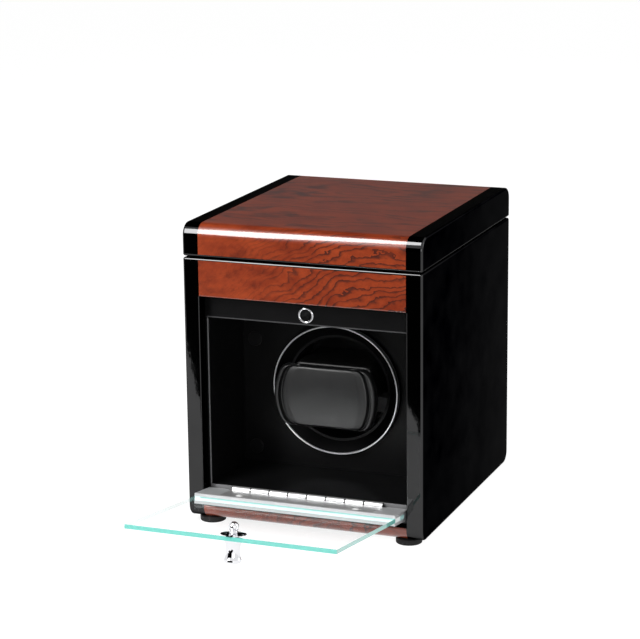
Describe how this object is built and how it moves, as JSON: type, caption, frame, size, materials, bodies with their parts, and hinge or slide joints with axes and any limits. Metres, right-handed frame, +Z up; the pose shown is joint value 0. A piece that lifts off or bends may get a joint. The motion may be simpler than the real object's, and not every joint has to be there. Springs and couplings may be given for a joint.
{
  "type": "watch winder box",
  "caption": "Lacquered watch winder case with a hinged lid over a storage tray and a drop-down glass door; a belt-driven drum turns a sprung watch cushion.",
  "frame": {"origin": "on the surface the feet stand on, under the centre of the case", "axes": "+Z up, -Y out of the front through the door, +X to the right seen from the front"},
  "size_m": [0.18, 0.345, 0.223],
  "materials": {
    "lacquer": "mirror gloss black lacquer over board",
    "veneer": "figured orange-brown veneer under gloss lacquer",
    "leatherette": "fine-grained satin black leatherette",
    "velvet": "short black velvet",
    "mdf": "raw board",
    "chrome": "polished chrome",
    "hinge_steel": "nickel-plated steel",
    "aluminium": "satin anodised",
    "glass": "clear, with aqua edges",
    "drum_plastic": "moulded satin black",
    "cap_plastic": "moulded black",
    "cushion_leather": "soft grained black leather",
    "grip_rubber": "matt rubber",
    "foot_rubber": "matt rubber",
    "zinc_steel": "zinc-plated steel",
    "lid_brass": "polished brass",
    "plate_steel": "grey powder coat",
    "bush_bronze": "sintered bronze",
    "gear_zinc": "die-cast zinc",
    "motor_steel": "drawn steel can",
    "pulley_plastic": "natural acetal",
    "belt_rubber": "flat rubber belt",
    "board_green": "solder mask",
    "chip_black": "moulded black",
    "lead_red": "insulated lead",
    "control_plastic": "textured black",
    "knob_plastic": "moulded black"
  },
  "bodies": {
    "case": {"axle_bushes": "bush_bronze", "back_board": "lacquer", "board_parts": "chip_black", "bottom_board": "lacquer", "catch_bar": "leatherette", "catch_socket": "chrome", "chamber_ceiling": "leatherette", "chamber_floor": "leatherette", "chamber_left": "leatherette", "chamber_right": "leatherette", "circuit_board": "board_green", "control_plate": "control_plastic", "control_screws": "zinc_steel", "dc_jack": "chip_black", "door_hinge_fixed": "hinge_steel", "door_hinge_pin": "hinge_steel", "drive_belt": "belt_rubber", "drive_plate": "plate_steel", "fascia_board": "lacquer", "feet": "foot_rubber", "floor_bearers": "leatherette", "foot_screws": "zinc_steel", "front_veneers": "veneer", "gearbox": "gear_zinc", "lid_bumpers": "foot_rubber", "lid_hinge_lower": "lid_brass", "motor": "motor_steel", "motor_leads": "lead_red", "screw_caps": "cap_plastic", "side_left": "lacquer", "side_right": "lacquer", "standoff_screws": "zinc_steel", "standoffs": "zinc_steel", "storage_deck": "mdf", "storage_liner": "velvet", "switch_bodies": "chip_black", "winder_panel": "leatherette"},
    "door": {"door_hinge_leaf": "hinge_steel", "door_channel": "aluminium", "channel_screws": "hinge_steel", "door_glass": "glass", "door_knob": "chrome", "ball_stud": "chrome"},
    "lid": {"lid_frame": "lacquer", "lid_sides": "lacquer", "lid_veneer": "veneer", "lid_lining": "velvet", "lid_hinge_upper": "lid_brass"},
    "drum": {"drum_cup": "drum_plastic", "trim_ring": "chrome", "drum_axle": "zinc_steel", "axle_collar": "zinc_steel", "grip_pads": "grip_rubber"},
    "pulley": {"motor_pulley": "pulley_plastic"},
    "cushion_rear": {"cushion_shell": "cushion_leather", "cushion_springs": "zinc_steel"},
    "cushion_front": {"cushion_pad": "cushion_leather"},
    "turns_knob": {"turns_knob": "knob_plastic"},
    "direction_slider": {"direction_slider": "knob_plastic"}
  },
  "joints": [
    {"name": "door_hinge", "type": "hinge", "parent": "case", "child": "door", "pos_m": [0, -0.0961, 0.026], "axis": [-1, 0, 0], "range_deg": [0, 82]},
    {"name": "lid_hinge", "type": "hinge", "parent": "case", "child": "lid", "pos_m": [0, 0.1046, 0.199], "axis": [-1, 0, 0], "range_deg": [0, 95]},
    {"name": "drum_spin", "type": "hinge", "parent": "case", "child": "drum", "pos_m": [0, 0, 0.09025], "axis": [0, 1, 0], "continuous": true},
    {"name": "motor_spin", "type": "hinge", "parent": "case", "child": "pulley", "pos_m": [0.05, 0, 0.05025], "axis": [0, 1, 0], "continuous": true},
    {"name": "cushion_pull", "type": "slide", "parent": "drum", "child": "cushion_rear", "axis": [0, -1, 0], "range_m": [0, 0.033]},
    {"name": "cushion_squeeze", "type": "slide", "parent": "cushion_rear", "child": "cushion_front", "axis": [0, 1, 0], "range_m": [0, 0.008], "stiffness_N_per_m": 900, "deforming": ["cushion_springs"]},
    {"name": "turns_select", "type": "hinge", "parent": "case", "child": "turns_knob", "pos_m": [0.018, 0.1, 0.075], "axis": [0, 1, 0], "range_deg": [0, 270]},
    {"name": "direction_select", "type": "slide", "parent": "case", "child": "direction_slider", "axis": [1, 0, 0], "range_m": [-0.003, 0.003]}
  ],
  "couplings": [
    {"joint": "motor_spin", "follows": "drum_spin", "ratio": 6.9259}
  ]
}
